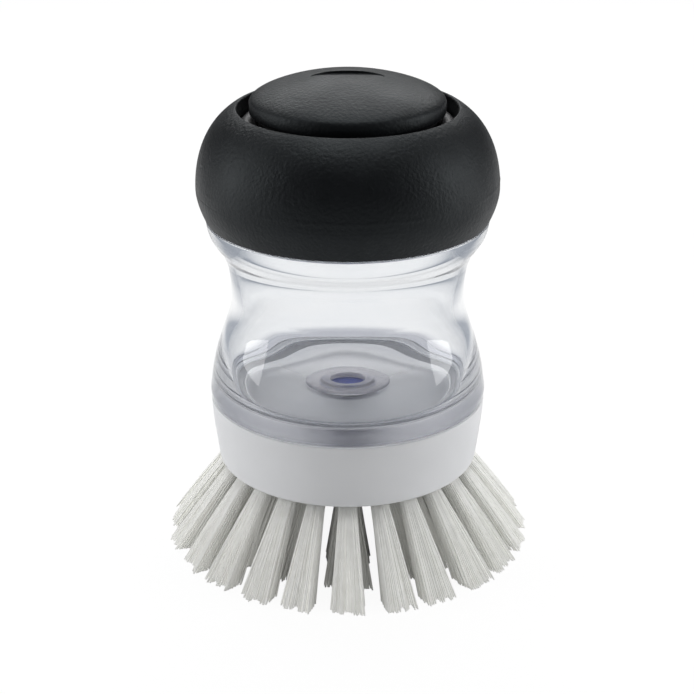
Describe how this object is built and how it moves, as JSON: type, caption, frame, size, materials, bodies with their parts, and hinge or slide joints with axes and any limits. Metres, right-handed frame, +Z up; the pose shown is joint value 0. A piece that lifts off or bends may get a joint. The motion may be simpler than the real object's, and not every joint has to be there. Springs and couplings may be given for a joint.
{
  "type": "soap-dispensing palm brush",
  "caption": "Palm-held dish brush with a soft round grip, a push button on top, a clear waisted soap tank and a flared white brush head below.",
  "frame": {"origin": "where the brush's axis meets the surface that its trimmed bristle tips stand on", "axes": "+Z up along the brush's axis, from the bristles to the button; -Y is the side that the picture faces"},
  "size_m": [0.0806, 0.0806, 0.1036],
  "materials": {
    "soft_grip": "matte soft touch",
    "hard_black": "satin",
    "membrane": "matte",
    "clear_body": "polished clear",
    "clear_ring": "frosted clear",
    "blue_valve": "matte silicone",
    "seal": "matte",
    "white_head": "satin",
    "bristle": "nylon filaments"
  },
  "bodies": {
    "reservoir": {"reservoir": "clear_body", "reservoir_base": "clear_body", "valve": "blue_valve", "valve_retainer": "clear_ring"},
    "cap_seal": {"cap_gasket": "seal"},
    "cap_ring": {"diaphragm_retainer": "hard_black"},
    "cap": {"grip_ring": "soft_grip", "cap_core": "hard_black", "diaphragm": "membrane"},
    "button": {"button_pad": "soft_grip", "button_plunger": "hard_black"},
    "head_ring": {"head_seal": "seal"},
    "head": {"brush_head": "white_head", "tuft_outer_01": "bristle", "tuft_outer_02": "bristle", "tuft_outer_03": "bristle", "tuft_outer_04": "bristle", "tuft_outer_05": "bristle", "tuft_outer_06": "bristle", "tuft_outer_07": "bristle", "tuft_outer_08": "bristle", "tuft_outer_09": "bristle", "tuft_outer_10": "bristle", "tuft_outer_11": "bristle", "tuft_outer_12": "bristle", "tuft_outer_13": "bristle", "tuft_outer_14": "bristle", "tuft_outer_15": "bristle", "tuft_outer_16": "bristle", "tuft_outer_17": "bristle", "tuft_outer_18": "bristle", "tuft_outer_19": "bristle", "tuft_outer_20": "bristle", "tuft_outer_21": "bristle", "tuft_outer_22": "bristle", "tuft_outer_23": "bristle", "tuft_outer_24": "bristle", "tuft_middle_01": "bristle", "tuft_middle_02": "bristle", "tuft_middle_03": "bristle", "tuft_middle_04": "bristle", "tuft_middle_05": "bristle", "tuft_middle_06": "bristle", "tuft_middle_07": "bristle", "tuft_middle_08": "bristle", "tuft_middle_09": "bristle", "tuft_middle_10": "bristle", "tuft_middle_11": "bristle", "tuft_middle_12": "bristle", "tuft_middle_13": "bristle", "tuft_middle_14": "bristle", "tuft_inner_01": "bristle", "tuft_inner_02": "bristle", "tuft_inner_03": "bristle", "tuft_inner_04": "bristle", "tuft_inner_05": "bristle", "tuft_inner_06": "bristle", "tuft_inner_07": "bristle", "tuft_inner_08": "bristle"}
  },
  "joints": [
    {"name": "cap_lift_off", "type": "slide", "parent": "reservoir", "child": "cap_seal", "axis": [0, 0, 1], "range_m": [0, 0.045]},
    {"name": "cap_rise", "type": "slide", "parent": "cap_seal", "child": "cap_ring", "axis": [0, 0, 1], "range_m": [0, 0.0051]},
    {"name": "cap_turn", "type": "hinge", "parent": "cap_ring", "child": "cap", "pos_m": [0, 0, 0], "axis": [0, 0, 1], "range_deg": [0, 450]},
    {"name": "button_press", "type": "slide", "parent": "cap", "child": "button", "axis": [0, 0, -1], "range_m": [0, 0.0035], "stiffness_N_per_m": 900, "springref_m": -0.002, "deforming": ["diaphragm"]},
    {"name": "head_pull_off", "type": "slide", "parent": "reservoir", "child": "head_ring", "axis": [0, 0, -1], "range_m": [0, 0.02]},
    {"name": "head_turn", "type": "hinge", "parent": "head_ring", "child": "head", "pos_m": [0, 0, 0], "axis": [0, 0, 1], "range_deg": [0, 45]}
  ],
  "couplings": [
    {"joint": "cap_rise", "follows": "cap_turn", "m_per_rad": 0.00063662}
  ]
}
